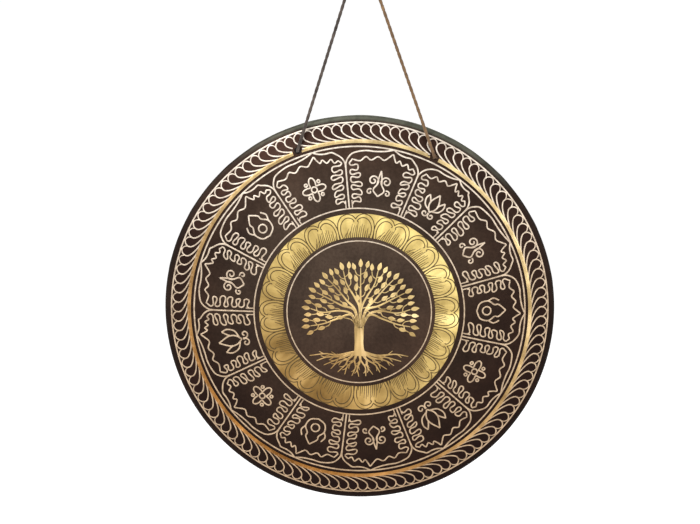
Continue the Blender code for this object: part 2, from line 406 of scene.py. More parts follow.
def ramp(material, factor, stops):
    """A colour ramp over a factor, from (place, colour) stops."""
    node = add_node(material, "ShaderNodeValToRGB")
    elements = node.color_ramp.elements
    while len(elements) < len(stops):
        elements.new(0.5)
    for element, (place, colour) in zip(elements, stops):
        element.position = place
        element.color = (*colour, 1)
    connect(material, factor, node.inputs["Fac"])
    return node.outputs["Color"]


def blend_colours(material, mode, factor, first, second):
    """A Mix node on two colours; the factor is a number or a socket."""
    node = add_node(material, "ShaderNodeMix")
    node.data_type = "RGBA"
    node.blend_type = mode
    connect(material, factor, node.inputs[0])
    connect(material, first, node.inputs[6])
    connect(material, second, node.inputs[7])
    return node.outputs[2]


def tinted(material, colour, amount, factor, stops):
    """A colour multiplied, by some amount, with a ramp over a factor."""
    return blend_colours(material, "MULTIPLY", amount, colour, ramp(material, factor, stops))


def math_step(material, operation, first, second):
    """The result of an operation on a socket and a second socket or number."""
    node = add_node(material, "ShaderNodeMath")
    node.operation = operation
    connect(material, first, node.inputs[0])
    connect(material, second, node.inputs[1])
    return node.outputs[0]


def mapped(material, value, limits):
    """A value brought from one range to another; limits that aren't named are 0 and 1."""
    node = add_node(material, "ShaderNodeMapRange", **limits)
    connect(material, value, node.inputs["Value"])
    return node.outputs["Result"]


def vector_step(material, operation, source, second=(0, 0, 0)):
    """The outputs of a vector operation on a socket and a fixed second vector."""
    node = add_node(material, "ShaderNodeVectorMath")
    node.operation = operation
    node.inputs[1].default_value = second
    connect(material, source, node.inputs[0])
    return node.outputs


def from_middle(material):
    """Position relative to the plate's middle, flattened into the plate's plane."""
    place = add_node(material, "ShaderNodeTexCoord").outputs["Object"]
    shifted = vector_step(material, "SUBTRACT", place, PLATE_CENTRE)["Vector"]
    return vector_step(material, "MULTIPLY", shifted, (1, 0, 1))["Vector"]


def radius_share(material):
    """Distance from the plate's middle as a share of its radius."""
    radius = vector_step(material, "LENGTH", from_middle(material))["Value"]
    return math_step(material, "DIVIDE", radius, PLATE_RADIUS)


def towards(material, direction, reach):
    """How far a place lies in a direction across the plate: 0 to 1 from one reach to the other."""
    along = vector_step(material, "DOT_PRODUCT", from_middle(material), direction)["Value"]
    return mapped(material, along, {"From Min": -reach, "From Max": reach})


def finished(material, shader, colour, height, strength, distance):
    """The material with its colour and its fine relief."""
    relief = add_node(material, "ShaderNodeBump", Strength=strength, Distance=distance)
    connect(material, colour, shader.inputs["Base Color"])
    connect(material, height, relief.inputs["Height"])
    connect(material, relief.outputs["Normal"], shader.inputs["Normal"])
    return material


def roughness_from(material, shader, factor, low, high):
    """Roughness that varies between two values."""
    roughness = mapped(material, factor, {"To Min": low, "To Max": high})
    connect(material, roughness, shader.inputs["Roughness"])


def patina_material():
    """Dark chemical patina, grey-brown middle, redder outside, with painted sheen towards the top,
    painted shade towards the bottom and a green-grey painted highlight on the rim's top.
    """
    material, shader = new_material("dark_patina", 0.42, 0.5)
    shader.inputs["Specular IOR Level"].default_value = 0.12
    rings = ramp(material, radius_share(material), [
        (0.0, (0.070, 0.053, 0.041)), (0.36, (0.064, 0.046, 0.035)), (0.55, (0.045, 0.031, 0.023)),
        (0.84, (0.027, 0.015, 0.010)), (0.955, (0.022, 0.010, 0.007)), (1.0, (0.020, 0.014, 0.011))])
    # Painted sheen and shade: paler and greyer towards the top, darker towards the bottom
    colour = tinted(material, rings, 1.0, towards(material, (-0.25, 0, 0.97), 0.16), [
        (0.0, (0.50, 0.33, 0.27)), (0.42, (0.72, 0.60, 0.54)), (0.72, (1.1, 1.08, 1.04)),
        (1.0, (1.95, 2.05, 2.05))])
    colour = tinted(material, colour, 1.0, noise(material, 26, 6), [
        (0.3, (0.62, 0.58, 0.56)), (0.72, (1.35, 1.3, 1.25))])
    colour = tinted(material, colour, 0.7, noise(material, 420, 4), [
        (0.34, (0.75, 0.72, 0.7)), (0.7, (1.2, 1.2, 1.2))])
    # Painted highlight: a paler green-grey on the rim's top, where light falls from above
    edge = ramp(material, radius_share(material), [(0.972, (0, 0, 0)), (0.984, (1, 1, 1))])
    top = ramp(material, towards(material, (0.1, 0, 0.99), PLATE_RADIUS), [
        (0.84, (0, 0, 0)), (0.97, (1, 1, 1))])
    green = ramp(material, noise(material, 90, 4), [
        (0.3, (0.06, 0.062, 0.045)), (0.7, (0.15, 0.15, 0.115))])
    lit_rim_top = blend_colours(material, "MULTIPLY", 1.0, edge, top)
    colour = blend_colours(material, "MIX", lit_rim_top, colour, green)
    roughness_from(material, shader, noise(material, 60, 5), 0.34, 0.6)
    return finished(material, shader, colour, noise(material, 900, 4), 0.25, 0.0002)


def brushed_gold_material(name, pale, deep, reach):
    """Burnished bronze with fine turning lines, paler to the upper right as a painted highlight, more
    orange below as painted shade, and with painted brushed highlights in fans round the middle.
    """
    material, shader = new_material(name, 0.36, 0.9)
    # Painted highlight and shade: paler towards the upper right, deeper orange towards the lower left
    tone = ramp(material, towards(material, (0.5, 0, 0.86), reach), [(0.08, deep), (0.9, pale)])
    colour = tinted(material, tone, 0.85, noise(material, 44, 6), [
        (0.3, (0.5, 0.43, 0.33)), (0.68, (1.15, 1.12, 1.05))])
    stretch = add_node(material, "ShaderNodeCombineXYZ")
    connect(material, radius_share(material), stretch.inputs[0])
    lines = noise(material, 420, 3, stretch.outputs[0])
    colour = tinted(material, colour, 0.8, lines, [(0.3, (0.8, 0.78, 0.74)), (0.7, (1.1, 1.1, 1.08))])
    # Painted brushed highlights: brighter and darker fans that change with the direction from the plate's
    # middle
    heading = vector_step(material, "NORMALIZE", from_middle(material))["Vector"]
    colour = tinted(material, colour, 0.9, noise(material, 5, 5, heading), [
        (0.36, (0.6, 0.55, 0.46)), (0.52, (0.98, 0.96, 0.9)), (0.64, (1.28, 1.3, 1.4))])
    roughness_from(material, shader, noise(material, 90, 4), 0.26, 0.5)
    return finished(material, shader, colour, lines, 0.2, 0.0002)


def line_material():
    """Bright cut metal of the engraved lines, uneven where the tool skipped, paler towards the top as
    painted light and darker towards the bottom as painted shade.
    """
    material, shader = new_material("cut_brass_lines", 0.42, 0.35)
    # Painted light and shade: paler towards the top, darker towards the bottom
    tone = ramp(material, towards(material, (-0.1, 0, 1), 0.15), [
        (0.0, (0.50, 0.34, 0.20)), (0.5, (0.60, 0.45, 0.30)), (1.0, (0.86, 0.77, 0.66))])
    colour = tinted(material, tone, 0.8, noise(material, 260, 5), [
        (0.32, (0.55, 0.5, 0.46)), (0.62, (1.1, 1.1, 1.1))])
    roughness_from(material, shader, noise(material, 500, 3), 0.3, 0.55)
    return finished(material, shader, colour, noise(material, 1500, 3), 0.3, 0.0001)


def scratch_material():
    """Dark oxide left in the petal lines on the gold ring."""
    material, shader = new_material("petal_line_oxide", 0.75, 0.0)
    shader.inputs["Specular IOR Level"].default_value = 0.15
    tone = ramp(material, noise(material, 120, 4), [
        (0.3, (0.05, 0.03, 0.012)), (0.7, (0.13, 0.085, 0.034))])
    return finished(material, shader, tone, noise(material, 1200, 2), 0.2, 0.0001)


def cord_material(name, dark, light):
    """Waxed twisted fibre in darker and lighter patches, with stray paler threads."""
    material, shader = new_material(name, 0.78, 0.0)
    shader.inputs["Sheen Weight"].default_value = 0.25
    base = ramp(material, noise(material, 140, 6), [(0.3, dark), (0.7, light)])
    colour = tinted(material, base, 0.85, noise(material, 2200, 4), [
        (0.35, (0.5, 0.46, 0.42)), (0.65, (1.3, 1.28, 1.25))])
    return finished(material, shader, colour, noise(material, 2600, 5), 0.6, 0.0003)


patina = patina_material()
ring_gold = brushed_gold_material(
    "brushed_ring_gold", pale=(0.95, 0.78, 0.33), deep=(0.42, 0.27, 0.10), reach=0.085)
strip_gold = brushed_gold_material(
    "burnished_ridge_gold", pale=(0.86, 0.70, 0.40), deep=(0.46, 0.22, 0.06), reach=0.14)
tree_gold = brushed_gold_material(
    "tree_gold", pale=(0.90, 0.74, 0.40), deep=(0.52, 0.33, 0.14), reach=0.07)
cut_brass = line_material()
petal_oxide = scratch_material()
grey_cord = cord_material("grey_brown_cord", (0.030, 0.020, 0.015), (0.125, 0.095, 0.078))
orange_cord = cord_material("orange_brown_cord", (0.10, 0.05, 0.02), (0.34, 0.20, 0.09))


# Cords and knots

def distances(points):
    """Distance along a route at each of its points."""
    return np.r_[0, np.cumsum(np.linalg.norm(np.diff(points, axis=0), axis=1))]


def lobed_tube(path):
    """Vertices and faces of the twisted cord along a path of points."""
    along = np.gradient(path, axis=0)
    along /= np.linalg.norm(along, axis=1)[:, None]
    side = np.cross(along[0], (0.0, 1.0, 0.0))
    if np.linalg.norm(side) < 0.1:
        side = np.cross(along[0], (1.0, 0.0, 0.0))
    turns = 2 * math.pi * np.arange(CORD_SIDES) / CORD_SIDES
    lobes = np.abs(np.cos(turns * PLIES / 2))
    radius = CORD_RADIUS * (1 - CREASE * (1 - lobes) ** 1.4)
    vertices = []
    for point, direction, distance in zip(path, along, distances(path)):
        side = side - direction * np.dot(side, direction)
        side /= np.linalg.norm(side)
        other = np.cross(direction, side)
        spin = turns + 2 * math.pi * PLY_TURNS * distance
        ring = point + (np.cos(spin) * radius)[:, None] * side + (np.sin(spin) * radius)[:, None] * other
        vertices.extend(ring)
    return vertices, sleeve_faces(len(path), CORD_SIDES)


def thread_tube(points):
    """A thin loose thread that tapers to its tip."""
    path = smooth(points, 4)
    turns = 2 * math.pi * np.arange(THREAD_SIDES) / THREAD_SIDES
    outline = np.stack([np.cos(turns), 0.3 * np.sin(turns), np.sin(turns)], 1)
    sizes = THREAD_RADIUS * (1 - 0.8 * np.linspace(0, 1, len(path)))
    vertices = [point + corner * size for point, size in zip(path, sizes) for corner in outline]
    return vertices, sleeve_faces(len(path), THREAD_SIDES)


def evenly(points, spacing):
    """The same route with points at an even spacing."""
    points = np.array([tuple(p) for p in points])
    steps = distances(points)
    count = max(int(round(steps[-1] / spacing)), 2)
    spots = np.linspace(0, steps[-1], count + 1)
    return np.stack([np.interp(spots, steps, points[:, axis]) for axis in range(3)], 1)


def smooth(points, steps=8):
    """A smooth curve through points of any dimension."""
    points = np.array([tuple(p) for p in points], float)
    padded = np.vstack([points[0] * 2 - points[1], points, points[-1] * 2 - points[-2]])
    route = []
    for index in range(1, len(padded) - 2):
        before, start, end, after = padded[index - 1:index + 3]
        for step in range(steps):
            share = step / steps
            bend = (2 * before - 5 * start + 4 * end - after) * share ** 2
            rest = (3 * start - before - 3 * end + after) * share ** 3
            route.append((2 * start + (end - before) * share + bend + rest) / 2)
    route.append(points[-1])
    return np.array(route)


def joined(parts):
    """Several (vertices, faces) lists as one."""
    vertices, faces = [], []
    for some_vertices, some_faces in parts:
        start = len(vertices)
        vertices.extend(some_vertices)
        faces.extend(tuple(corner + start for corner in face) for face in some_faces)
    return vertices, faces


def make_strand(name, mouth, material):
    """A taut stretch of cord from its hole up into the top knot."""
    path = evenly([mouth, KNOT_CENTRE], STRAND_STEP)
    strand = mesh_object(name, *lobed_tube(path), material, "cord_fibre", "strands")
    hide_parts(name.replace("twisted_", ""))


def make_loop():
    """The loop that hangs on a hook, along the same route as its solid."""
    top = Vector((0, 0, CORD_RADIUS))
    left = [Vector((-x, 0, LOOP_LEG_END + (top.z - LOOP_LEG_END) * share)) for x, share in LOOP_SIDE]
    right = [Vector((-point.x, 0, point.z)) for point in reversed(left)]
    path = evenly(smooth([*left, top, *right]), STRAND_STEP)
    loop = mesh_object("twisted_top_loop", *lobed_tube(path), orange_cord, "cord_fibre", "loop")
    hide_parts("top_loop")


def make_top_knot():
    """The top knot: two cords that cross in its middle, with two turns wrapped round them."""
    leg = LOOP_SIDE[0][0]
    parts = []
    for side, mouth in ((-1, LEFT_MOUTH), (1, RIGHT_MOUTH)):
        down = (mouth - KNOT_CENTRE).normalized()
        core = [Vector((-side * leg, 0, TOP_KNOT_RADIUS + 0.0006)),
                Vector((-side * 0.0014, -side * 0.0006, 0.002)),
                Vector((side * 0.0012, side * 0.0006, -0.002)), down * TOP_KNOT_RADIUS]
        core = [KNOT_CENTRE + point for point in core]
        parts.append(lobed_tube(evenly(smooth(core), TOP_KNOT_STEP)))
    ends = np.linspace(-1, 1, WRAP_POINTS)
    turns = np.linspace(-0.3, 2 * math.pi * 1.12, WRAP_POINTS)
    swell = WRAP_RADIUS - WRAP_TUCK * np.abs(ends) ** 8
    tilt = 0.0012 * np.sin(turns + 0.6) - 0.0011 * ends
    for lift in WRAP_LIFTS:
        wrap = [swell * np.cos(turns) * 1.15, swell * np.sin(turns), KNOT_CENTRE.z + lift + tilt]
        parts.append(lobed_tube(np.stack(wrap, 1)))
    knot = mesh_object("overhand_top_knot", *joined(parts), orange_cord, "cord_fibre", "knot")
    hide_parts("top_knot")


def trefoil(centre, place, twist, size):
    """A closed turn of cord with three lobes, some way behind a centre."""
    turns = np.linspace(0, 2 * math.pi, 110)
    across = size * (np.sin(turns) + 2 * np.sin(2 * turns))
    tall = size * (np.cos(turns) - 2 * np.cos(2 * turns))
    deep = 1.14 * size * np.sin(3 * turns)
    return np.stack([centre.x + across * math.cos(twist) - tall * math.sin(twist),
                     centre.y + place + deep,
                     centre.z + across * math.sin(twist) + tall * math.cos(twist)], 1)


def frayed_threads(end, droop):
    """Loose threads that spread from the end of a tail."""
    threads = []
    for thread in range(FRAY_THREADS):
        turn = 2 * math.pi * thread / FRAY_THREADS
        spread = Vector((math.cos(turn), math.sin(turn) * 0.6, math.sin(turn) * 0.4)) * FRAY_SPREAD
        root = end + spread * 0.9 - droop * 0.0006
        tip = end + spread * 1.9 + droop * 0.0022
        threads.append(thread_tube([root, (root + tip) / 2 + spread * 0.4, tip]))
    return threads


def make_stopper(side, mouth, material):
    """The cord's end: over the hole's lip and through it, trefoil turns as its knot, a frayed tail."""
    outwards = 1 if side == "right" else -1
    up = (KNOT_CENTRE - mouth).normalized()
    centre = mouth + Vector((0, STOPPER_DEPTH, 0))
    lead = [mouth + up * 0.0016, mouth + Vector((0, 0.0002, 0.0001)), mouth + Vector((0, 0.0022, 0)),
            mouth + Vector((0, 0.006, 0)), centre]
    droop = Vector((0.25 * outwards, 0.55, -0.8)).normalized()
    tail = [centre, centre + droop * 0.004, centre + droop * 0.0085 + Vector((0.0003, 0, -0.0002)),
            centre + droop * 0.0118 + Vector((0, -0.0004, -0.0006))]
    turns = [trefoil(centre, *turn) for turn in STOPPER_TURNS]
    routes = [evenly(smooth(lead), STOPPER_STEP), *turns, evenly(smooth(tail), STOPPER_STEP)]
    parts = [lobed_tube(route) for route in routes] + frayed_threads(tail[-1], droop)
    stopper = mesh_object("stopper_knot_" + side, *joined(parts), material, "cord_fibre", "gong")
    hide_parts("hole_knot_" + side)


make_strand("twisted_cord_left", LEFT_MOUTH, grey_cord)
make_strand("twisted_cord_right", RIGHT_MOUTH, orange_cord)
make_loop()
make_top_knot()
make_stopper("left", LEFT_MOUTH, grey_cord)
make_stopper("right", RIGHT_MOUTH, orange_cord)


# Plate

def ring_points(place, kind, turns):
    """Points round one ring of the plate's skin, in world metres."""
    radius = np.full(len(turns), place)
    wobble = 0
    if kind in RIM_INSETS:
        radius = PLATE_RADIUS + (RIM_END_RADIUS - PLATE_RADIUS) * radius - RIM_INSETS[kind]
        wobble = 0.00012 * np.sin(turns * 23 + 1) + 0.0001 * np.sin(turns * 41 + place * 5)
    across = (radius + wobble) * np.sin(turns)
    up = (radius + wobble) * np.cos(turns)
    if kind == "face":
        y = face_y(across, up)
    elif kind == "back":
        wall = CENTRE_WALL + (EDGE_WALL - CENTRE_WALL) * radius / PLATE_RADIUS
        dents = hammered(across, up, BACK_MARKS, BACK_DENT_DEPTH, BACK_DENT_SIZE)
        y = FRONT_Y + face_depth(radius) + wall
        y -= dents * np.clip((BACK_DENTS_END - radius) / DENTS_FADE, 0, 1)
    else:
        edge_y = FRONT_Y + float(face_depth(np.array(PLATE_RADIUS)))
        y = np.full(len(turns), edge_y + (RIM_Y - edge_y) * place)
    return np.stack([CENTRE_X + across, y, CENTRE_Z + up], 1)


def make_plate():
    """The hammered plate as one closed skin, with its two holes cut."""
    turns = 2 * math.pi * np.arange(PLATE_SEGMENTS) / PLATE_SEGMENTS
    rings = [ring_points(place, kind, turns) for kind, places in RING_PLACES for place in places]
    vertices = list(np.vstack(rings))
    faces = sleeve_faces(len(rings), PLATE_SEGMENTS, "open")
    for ring in (0, len(rings) - 1):
        start = ring * PLATE_SEGMENTS
        middle = len(vertices)
        vertices.append(rings[ring].mean(axis=0))
        for corner in range(PLATE_SEGMENTS):
            faces.append((start + corner, start + (corner + 1) % PLATE_SEGMENTS, middle))
    plate = mesh_object("hammered_plate", vertices, faces, patina, "patinated_bronze", "gong")
    for mouth in MOUTHS:
        cut_hole(plate, mouth)
    plate.data.set_sharp_from_angle(angle=SHARP_ANGLE)
    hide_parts("gong_plate")


def cut_hole(plate, mouth):
    """Cuts one cord hole right through the plate."""
    work = bmesh.new()
    lying = Matrix.Translation(mouth) @ Matrix.Rotation(math.radians(90), 4, "X")
    bmesh.ops.create_cone(work, cap_ends=True, segments=HOLE_SEGMENTS, radius1=HOLE_RADIUS,
                          radius2=HOLE_RADIUS, depth=CUTTER_LENGTH, matrix=lying)
    mesh = bpy.data.meshes.new("hole_cutter")
    work.to_mesh(mesh)
    work.free()
    cutter = new_object("hole_cutter", mesh)
    modifier = plate.modifiers.new("hole", "BOOLEAN")
    modifier.operation = "DIFFERENCE"
    modifier.solver = "EXACT"
    modifier.object = cutter
    graph = bpy.context.evaluated_depsgraph_get()
    cut = bpy.data.meshes.new_from_object(plate.evaluated_get(graph))
    plate.modifiers.clear()
    plate.data = cut
    bpy.data.objects.remove(cutter)


make_plate()


# Engraving: every figure is drawn in millimetres across and up from the plate's middle

def polar(angle, radius):
    """Points from angles in degrees clockwise from the top and radii in millimetres."""
    turn = np.radians(np.asarray(angle, float))
    radius = np.asarray(radius, float)
    return np.stack([radius * np.sin(turn), radius * np.cos(turn)], -1)


def placed(points, angle, radius):
    """Points of a figure drawn upright, set with its middle at an angle and a radius."""
    turn = math.radians(angle)
    outwards = np.array([math.sin(turn), math.cos(turn)])
    sideways = np.array([math.cos(turn), -math.sin(turn)])
    return (radius + points[:, 1:2]) * outwards + points[:, 0:1] * sideways


class Engraving:
    """Collects engraved strips and filled shapes and makes one piece of them."""

    def __init__(self):
        self.places = []
        self.heights = []
        self.faces = []
        self.count = 0

    def add(self, places, heights, faces):
        """Adds points with their heights over the face, and faces on them."""
        self.faces.extend(tuple(corner + self.count for corner in face) for face in faces)
        self.places.append(places)
        self.heights.append(heights)
        self.count += len(places)

    def strip(self, points, width, section=GROOVE, closed=False, lift=0.0):
        """A line with a cross-section, left out where it would cross a cord hole."""
        width = np.broadcast_to(np.asarray(width, float), (len(points),)).copy()
        gaps = np.min([np.linalg.norm(points - hole, axis=1) for hole in HOLES], axis=0)
        clear = gaps > HOLE_RADIUS / MM + HOLE_MARGIN + width / 2
        if clear.all():
            self.run(points, width, section, closed, lift)
            return
        if closed:
            start = int(np.argmin(clear))
            points, width, clear = (np.roll(array, -start, axis=0) for array in (points, width, clear))
        edges = np.flatnonzero(np.diff(np.r_[0, clear.astype(int), 0]))
        for first, last in zip(edges[::2], edges[1::2]):
            if last - first >= 3:
                self.run(points[first:last], width[first:last], section, False, lift)

    def run(self, points, width, section, closed, lift):
        """One unbroken strip."""
        if closed:
            along = np.roll(points, -1, axis=0) - np.roll(points, 1, axis=0)
        else:
            along = np.gradient(points, axis=0)
        along /= np.maximum(np.linalg.norm(along, axis=1), 1e-9)[:, None]
        side = np.stack([-along[:, 1], along[:, 0]], 1)
        shares = np.array([share for share, height in section])
        rises = np.array([height for share, height in section]) + lift
        places = points[:, None, :] + side[:, None, :] * (width[:, None] * shares)[:, :, None]
        faces = sleeve_faces(len(points), len(section), "joined" if closed else "capped")
        self.add(places.reshape(-1, 2), np.tile(rises, len(points)), faces)

    def fill(self, outline):
        """A low raised solid inside an outline, such as a leaf."""
        middle = outline.mean(axis=0)
        inner = middle + (outline - middle) * 0.8
        count = len(outline)
        places = np.vstack([outline, inner, middle[None], middle[None]])
        heights = np.r_[np.full(count, SUNK), np.full(count, LEAF_HEIGHT), LEAF_HEIGHT * 1.25, SUNK]
        faces = []
        for corner in range(count):
            after = (corner + 1) % count
            faces.append((corner, after, count + after, count + corner))
            faces.append((count + corner, count + after, 2 * count))
            faces.append((after, corner, 2 * count + 1))
        self.add(places, heights, faces)

    def build(self, name, material, slot="polished_engraving"):
        """Lays everything on the hammered face as one piece."""
        places = np.vstack(self.places) * MM
        y = face_y(places[:, 0], places[:, 1]) - np.concatenate(self.heights) * MM
        vertices = np.stack([CENTRE_X + places[:, 0], y, CENTRE_Z + places[:, 1]], 1)
        return mesh_object(name, vertices, self.faces, material, slot, "gong")


def circle(radius):
    """A full circle round the plate's middle."""
    return polar(np.arange(CIRCLE_POINTS) * 360 / CIRCLE_POINTS, radius)


def spans(starts):
    """(number, start, end) of each stretch from one angle to the next, in degrees round the plate."""
    for number, start in enumerate(starts):
        end = starts[(number + 1) % len(starts)]
        yield number, start, end + 360 if end < start else end


def engrave_rings():
    """The plain circles, the burnished ridge strip and the gold ring."""
    lines = Engraving()
    for radius, width in CIRCLE_WIDTHS:
        lines.strip(circle(radius), width, closed=True)
    lines.build("ring_lines", cut_brass)
    ridge = Engraving()
    step = (STRIP_OUTER - STRIP_INNER) / STRIP_LINES
    for line in range(STRIP_LINES):
        radius = STRIP_INNER + step * (line + 0.5)
        ridge.strip(circle(radius), step * STRIP_OVERLAP, SOLID_BAR, closed=True)
    ridge.build("ridge_strip", strip_gold)
    gold = Engraving()
    gold.strip(circle((GOLD_INNER + GOLD_OUTER) / 2), GOLD_OUTER - GOLD_INNER, WIDE_BAND, closed=True)
    gold.build("gold_ring", ring_gold)


def engrave_swirls():
    """The leaning comma cells between the ridge and the outer circle."""
    pitch = 360 / SWIRLS
    shares, radii = np.array(SWIRL_ROUTE).T
    lines = Engraving()
    for index in range(SWIRLS):
        points = smooth(polar((index + shares) * pitch, radii), 4)
        lines.strip(points, np.interp(np.linspace(0, 1, len(points)), *SWIRL_WIDTHS))
    lines.build("swirl_border", cut_brass)


def side_wave(separator, sense, slant, number):
    """The squiggle up one side of a panel: rounded meanders from the inner circle outwards."""
    phase = np.linspace(0, 2 * math.pi * WAVES, WAVE_POINTS)
    share = phase / phase[-1]
    swell = WAVE_SWELL + 0.55 * np.sin(0.8 * phase + 1.7 * number) + 0.35 * np.sin(2.1 * number)
    across = WAVE_MARGIN + swell * (1 - np.cos(phase))
    along = WAVE_START + WAVE_RISE * share + 1.05 * np.sin(2 * phase) + slant * np.cos(phase)
    along += 0.5 * np.sin(0.7 * phase + number)
    return np.stack([separator + sense * np.degrees(across / along), along], 1)


def end_zigzag(first, cusp, last):
    """The zigzag across a panel's outer end, with a small peak under the arch's point."""
    left = [(first + (cusp - first) * share, radius) for share, radius in LEFT_ZIGZAG]
    right = [(last + (cusp - last) * share, radius) for share, radius in RIGHT_ZIGZAG]
    return np.array(left + [(cusp, ZIGZAG_PEAK)] + right[::-1])


def half_arch(start, cusp):
    """Half of a panel's arch, from its separator up and over to its point."""
    foot = [(turn / abs(cusp - start), radius) for turn, radius in ARCH_FOOT]
    shares, radii = np.array(foot + ARCH_TOP).T
    return smooth(polar(start + (cusp - start) * shares, radii), 6)


def engrave_panels():
    """The thirteen lotus-arch frames with the squiggle inside each."""
    lines = Engraving()
    for index, separator, after in spans(SEPARATORS):
        cusp = CUSPS[index]
        stem = np.linspace(PANEL_INNER, STEM_END, STEM_POINTS)
        lines.strip(polar(np.full(STEM_POINTS, separator), stem), FRAME_WIDTH)
        for start, sense in ((separator, 1), (after, -1)):
            lines.strip(half_arch(start, cusp), FRAME_WIDTH)
            flank = polar(start + sense * np.degrees(FLANK_MARGIN / FLANK_RADII), FLANK_RADII)
            lines.strip(smooth(flank, 3), FLANK_WIDTH)
        left = side_wave(separator, 1, SLANTS[0], index)
        right = side_wave(after, -1, SLANTS[1], index + 20)[::-1]
        top = end_zigzag(left[-1][0] + ZIGZAG_INSET, cusp, right[0][0] - ZIGZAG_INSET)
        route = np.vstack([polar(*left.T), smooth(polar(*top.T), 5), polar(*right.T)])
        lines.strip(route, SQUIGGLE_WIDTH)
    lines.build("panel_frames", cut_brass)


def mirrored(paths):
    """Paths with their mirror images."""
    return paths + [path * (-1, 1) for path in paths]


def spiral(centre, size, start, turns, sense):
    """A curl that winds in towards its centre."""
    share = np.linspace(0, 1, 26)
    turn = math.radians(start) + sense * 2 * math.pi * turns * share
    radius = size * (1 - 0.82 * share)
    return np.stack([centre[0] + radius * np.cos(turn), centre[1] + radius * np.sin(turn)], 1)


def lotus_bud():
    """A bud with two open side petals on a curled base."""
    return mirrored([
        smooth([(0, -6), (-2.7, -2.4), (-3.0, 2.0), (0, 8.4)], 6),
        smooth([(-1.6, -4.6), (-5.6, -2.6), (-7.4, 1.6), (-6.4, 5.2)], 6),
        smooth([(-6.4, 5.2), (-4.4, 2.6), (-3.0, 0.2)], 5),
        spiral((-2.6, -8.0), 2.6, 30, 1.1, -1)])


def flame_jewel():
    """A round jewel in a flame."""
    turn = np.linspace(0, 2 * math.pi, 25)
    jewel = np.stack([2.5 * np.cos(turn), 2.5 * np.sin(turn) - 2], 1)
    return [jewel] + mirrored([
        smooth([(0, -8), (-4.6, -6), (-6.0, -1.2), (-3.6, 2.6), (-3.6, 5.2), (0, 9.4)], 6),
        smooth([(-6.0, -1.2), (-7.6, 2.0), (-6.2, 5.4)], 6)])


def cloud_scroll():
    """Two curls that meet under a point."""
    return mirrored([
        spiral((-3.9, 1.4), 3.3, -40, 1.4, 1),
        smooth([(-1.4, -0.7), (-0.9, 3.4), (0, 7.6)], 6),
        smooth([(-1.4, -0.7), (-3.2, -4.2), (0, -7.6)], 6),
        spiral((-5.2, -5.4), 1.9, 60, 1.0, 1)])


def rosette():
    """Four round petals about a ring, with a bead between each two."""
    turn = np.linspace(0, 2 * math.pi, 73)
    reach = 4.9 + 2.3 * np.cos(4 * turn)
    ring = np.stack([1.7 * np.cos(turn[::3]), 1.7 * np.sin(turn[::3])], 1)
    beads = []
    for quarter in range(4):
        place = math.radians(45 + 90 * quarter)
        beads.append(ring * 0.5 + (5.6 * math.cos(place), 5.6 * math.sin(place)))
    return [np.stack([reach * np.cos(turn), reach * np.sin(turn)], 1), ring, *beads]


def engrave_ornaments():
    """A traditional ornament in the middle of each panel, smaller where the panel is narrow."""
    lines = Engraving()
    figures = (lotus_bud, cloud_scroll, flame_jewel, rosette)
    for index, separator, after in spans(SEPARATORS):
        middle = (separator + after) / 2
        half = math.radians((after - separator) / 2)
        room = 2 * ORNAMENT_RADIUS * math.tan(half) - SQUIGGLE_ROOM
        scale = min(LARGEST_ORNAMENT, room / ORNAMENT_WIDTH)
        # The last panel skips a figure, so that it differs from the first
        number = index + index // (len(SEPARATORS) - 1)
        for path in figures[number % len(figures)]():
            lines.strip(placed(path * scale, middle, ORNAMENT_RADIUS), ORNAMENT_LINE)
    lines.build("panel_ornaments", cut_brass)


def petal_hatch(first, span, number):
    """A fine line up a petal from the ring's inner edge, leaning clockwise."""
    share = number / (HATCHES - 1)
    foot = 0.13 + 0.74 * share
    tip = foot + 0.16 * (0.5 - foot) + 0.07
    height = 63.5 + 6.5 * math.sin(math.pi * share) + 2.0 * math.sin(number * 2.4)
    turns = [first + span * foot, first + span * (foot + tip) / 2, first + span * tip]
    return smooth(polar(turns, [PETAL_FOOT, (PETAL_FOOT + height) / 2 + 0.6, height]), 3)


def engrave_petals():
    """Sixteen lotus petals cut thinly into the gold ring."""
    lines = Engraving()
    for _, first, last in spans(PETAL_EDGES):
        span = last - first
        for outline in (PETAL_OUTER, PETAL_INNER):
            shares, radii = np.array(outline).T
            for side in (shares, 1 - shares):
                points = smooth(polar(first + span * side, radii), 4)
                lines.strip(points, PETAL_WIDTH, SCRATCH, lift=PETAL_LIFT)
        for number in range(HATCHES):
            points = petal_hatch(first, span, number)
            lines.strip(points, np.linspace(*HATCH_WIDTHS, len(points)), SCRATCH, lift=PETAL_LIFT)
    lines.build("petal_lines", petal_oxide, "patinated_bronze")


def leaf(foot, direction, length, width):
    """A pointed leaf from its foot; the direction is in radians clockwise from upright."""
    share = np.linspace(0, 1, 9)
    half = width / 2 * np.sin(math.pi * share ** 0.85)
    along = np.array([math.sin(direction), math.cos(direction)])
    side = np.array([along[1], -along[0]])
    spine = foot + share[:, None] * length * along
    one = spine + half[:, None] * side
    other = spine - half[:, None] * side
    return np.vstack([one, other[-2:0:-1]])


def crown_point(angle, reach):
    """A place in the crown: degrees from upright and millimetres from its middle."""
    turn = math.radians(angle)
    return CROWN_MIDDLE + reach * np.array([math.sin(turn), math.cos(turn)])


def limb_path(number):
    """A limb: with its neighbours up a shared bough, then out to the crown's edge."""
    bough = round(number / 2.3)
    middle = number * LIMB_SPACING
    sway = 2.2 * math.sin(1.9 * number)
    angles = (bough * 24 + number * 5, middle - sway - number * 1.5, middle + sway, middle)
    crown = [crown_point(angle, reach) for angle, reach in zip(angles, LIMB_REACHES)]
    return smooth([(bough * 0.8, LIMB_FOOT), *crown], 8)


